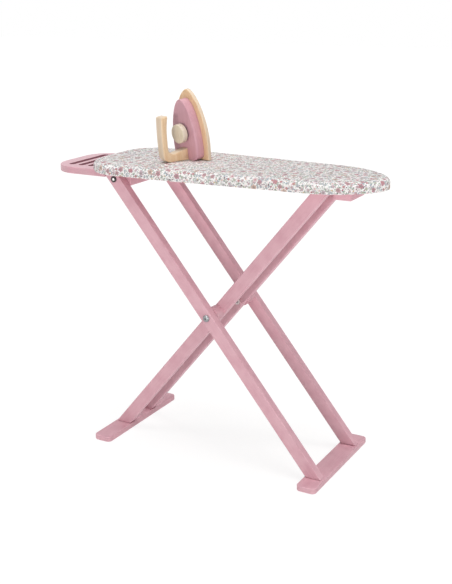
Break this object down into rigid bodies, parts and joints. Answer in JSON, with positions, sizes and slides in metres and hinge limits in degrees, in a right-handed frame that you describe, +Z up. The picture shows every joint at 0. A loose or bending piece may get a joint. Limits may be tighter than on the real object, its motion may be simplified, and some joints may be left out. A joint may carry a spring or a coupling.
{
  "type": "toy ironing board",
  "caption": "Folding toy ironing board with a padded flower-print cover, a slotted iron rest and a wooden toy iron with a turning dial.",
  "frame": {"origin": "on the floor under the middle of the board's length and width", "axes": "+X along the board to its nose, -X to the iron rest, -Y to the near side, +Z up"},
  "size_m": [0.6044, 0.226, 0.6294],
  "materials": {
    "pink_paint": "satin dusty pink paint on wood",
    "natural_wood": "clear matt lacquer",
    "pale_wood": "bare sanded wood",
    "printed_cotton": "small all-over flower print",
    "foam": "soft foam sheet",
    "elastic": "woven elastic",
    "zinc_steel": "zinc plated",
    "dark_washer": "matt black"
  },
  "bodies": {
    "board": {"deck_board": "pink_paint", "foam_pad": "foam", "fabric_cover": "printed_cotton", "hem_elastic": "elastic", "iron_rest": "pink_paint", "hinge_block": "pink_paint", "catch_block": "pink_paint", "rest_screw_near": "zinc_steel", "rest_screw_far": "zinc_steel", "hinge_block_screw_near": "zinc_steel", "hinge_block_screw_far": "zinc_steel", "catch_block_screw_near": "zinc_steel", "catch_block_screw_far": "zinc_steel", "hinge_bolt_near": "zinc_steel", "hinge_bolt_far": "zinc_steel", "hinge_washer_near": "dark_washer", "hinge_washer_far": "dark_washer"},
    "outer_legs": {"outer_leg_near": "pink_paint", "outer_leg_far": "pink_paint", "outer_foot": "pink_paint", "outer_foot_screw_near": "zinc_steel", "outer_foot_screw_far": "zinc_steel", "pivot_spacer_near": "pink_paint", "pivot_spacer_far": "pink_paint", "pivot_bolt_near": "zinc_steel", "pivot_bolt_far": "zinc_steel", "pivot_nut_near": "zinc_steel", "pivot_nut_far": "zinc_steel"},
    "inner_legs": {"inner_leg_near": "pink_paint", "inner_leg_far": "pink_paint", "inner_foot": "pink_paint", "inner_foot_screw_near": "zinc_steel", "inner_foot_screw_far": "zinc_steel", "inner_crossbar": "pink_paint"},
    "iron": {"iron_soleplate": "natural_wood", "iron_body": "pink_paint", "iron_handle": "natural_wood", "dial_pin": "zinc_steel", "handle_dowel_upper": "natural_wood", "handle_dowel_lower": "natural_wood", "sole_dowel_upper": "natural_wood", "sole_dowel_lower": "natural_wood"},
    "dial": {"iron_dial": "pale_wood"}
  },
  "joints": [
    {"name": "outer_leg_fold", "type": "hinge", "parent": "board", "child": "outer_legs", "pos_m": [-0.15975, 0, 0.48133], "axis": [0, -1, 0], "range_deg": [0, 44]},
    {"name": "inner_leg_scissor", "type": "hinge", "parent": "outer_legs", "child": "inner_legs", "pos_m": [0.0182, 0, 0.26], "axis": [0, 1, 0], "range_deg": [0, 94.3]},
    {"name": "iron_lift", "type": "slide", "parent": "board", "child": "iron", "axis": [0, 0, 1], "range_m": [0, 0.2]},
    {"name": "dial_turn", "type": "hinge", "parent": "iron", "child": "dial", "pos_m": [-0.06545, -0.00839, 0.55651], "axis": [-0.3393, -0.9323, -0.1253], "continuous": true}
  ],
  "couplings": [
    {"joint": "inner_leg_scissor", "follows": "outer_leg_fold", "ratio": 2.1432}
  ]
}
